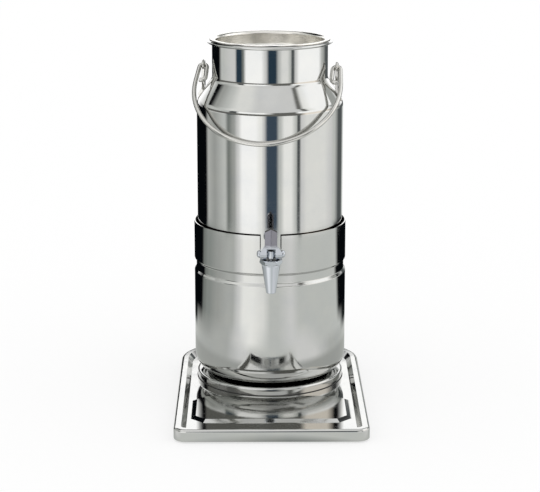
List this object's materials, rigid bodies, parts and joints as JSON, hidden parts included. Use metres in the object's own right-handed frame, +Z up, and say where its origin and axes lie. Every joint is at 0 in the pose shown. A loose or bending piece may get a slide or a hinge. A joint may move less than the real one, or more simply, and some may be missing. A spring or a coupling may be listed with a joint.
{
  "type": "milk can",
  "caption": "Upright sheet-metal milk can with a bail, lift-out lid and front lever tap, standing in a round sleeve on a flat drip tray.",
  "frame": {"origin": "centre of the tray's outline, on the surface the rubber feet stand on", "axes": "+Z up along the can's axis, -Y forward towards the tap, +X to the right of someone who faces the tap's back"},
  "size_m": [0.21, 0.32, 0.4044],
  "materials": {
    "polished_steel": "mirror polished stainless steel",
    "satin_steel": "satin stainless steel",
    "wire_steel": "polished drawn stainless wire",
    "tap_chrome": "chrome plated",
    "black_rubber": "moulded rubber",
    "clear_silicone": "moulded food silicone"
  },
  "bodies": {
    "stand": {"tray": "polished_steel", "rubber_feet": "black_rubber", "foot_drum": "polished_steel", "stand_sleeve": "polished_steel", "can_seat_ring": "satin_steel", "base_washers": "satin_steel", "base_spacers": "satin_steel", "base_bolts": "satin_steel", "base_nuts": "satin_steel"},
    "can": {"can_body": "polished_steel", "can_neck": "polished_steel", "ear_left": "polished_steel", "ear_right": "polished_steel", "tap_body": "tap_chrome", "outer_gasket": "black_rubber", "inner_gasket": "black_rubber", "shank_washer": "satin_steel", "shank_nut": "satin_steel", "gland_plug": "satin_steel", "stem_oring": "black_rubber", "valve_spring": "satin_steel"},
    "bail": {"bail": "wire_steel"},
    "lid": {"lid": "polished_steel", "lid_seal": "clear_silicone", "lid_grip": "polished_steel"},
    "tap_stem": {"valve_stem": "tap_chrome", "valve_washer": "black_rubber", "valve_screw": "satin_steel"},
    "tap_lever": {"tap_lever": "tap_chrome", "lever_pin": "tap_chrome"}
  },
  "joints": [
    {"name": "can_lift", "type": "slide", "parent": "stand", "child": "can", "axis": [0, 0, 1], "range_m": [0, 0.06]},
    {"name": "bail_swing", "type": "hinge", "parent": "can", "child": "bail", "pos_m": [0, 0.0565, 0.3726], "axis": [-0.9903, 0.1392, 0], "range_deg": [0, 261]},
    {"name": "lid_lift", "type": "slide", "parent": "can", "child": "lid", "axis": [0, 0, 1], "range_m": [0, 0.05]},
    {"name": "stem_lift", "type": "slide", "parent": "can", "child": "tap_stem", "axis": [0, 0, 1], "range_m": [0, 0.003], "stiffness_N_per_m": 600, "springref_m": -0.006, "deforming": ["valve_spring"]},
    {"name": "lever_flip", "type": "hinge", "parent": "tap_stem", "child": "tap_lever", "pos_m": [0, -0.0675, 0.1846], "axis": [1, 0, 0], "range_deg": [0, 80]}
  ],
  "couplings": [
    {"joint": "lever_flip", "follows": "stem_lift", "rad_per_m": 465.42}
  ]
}
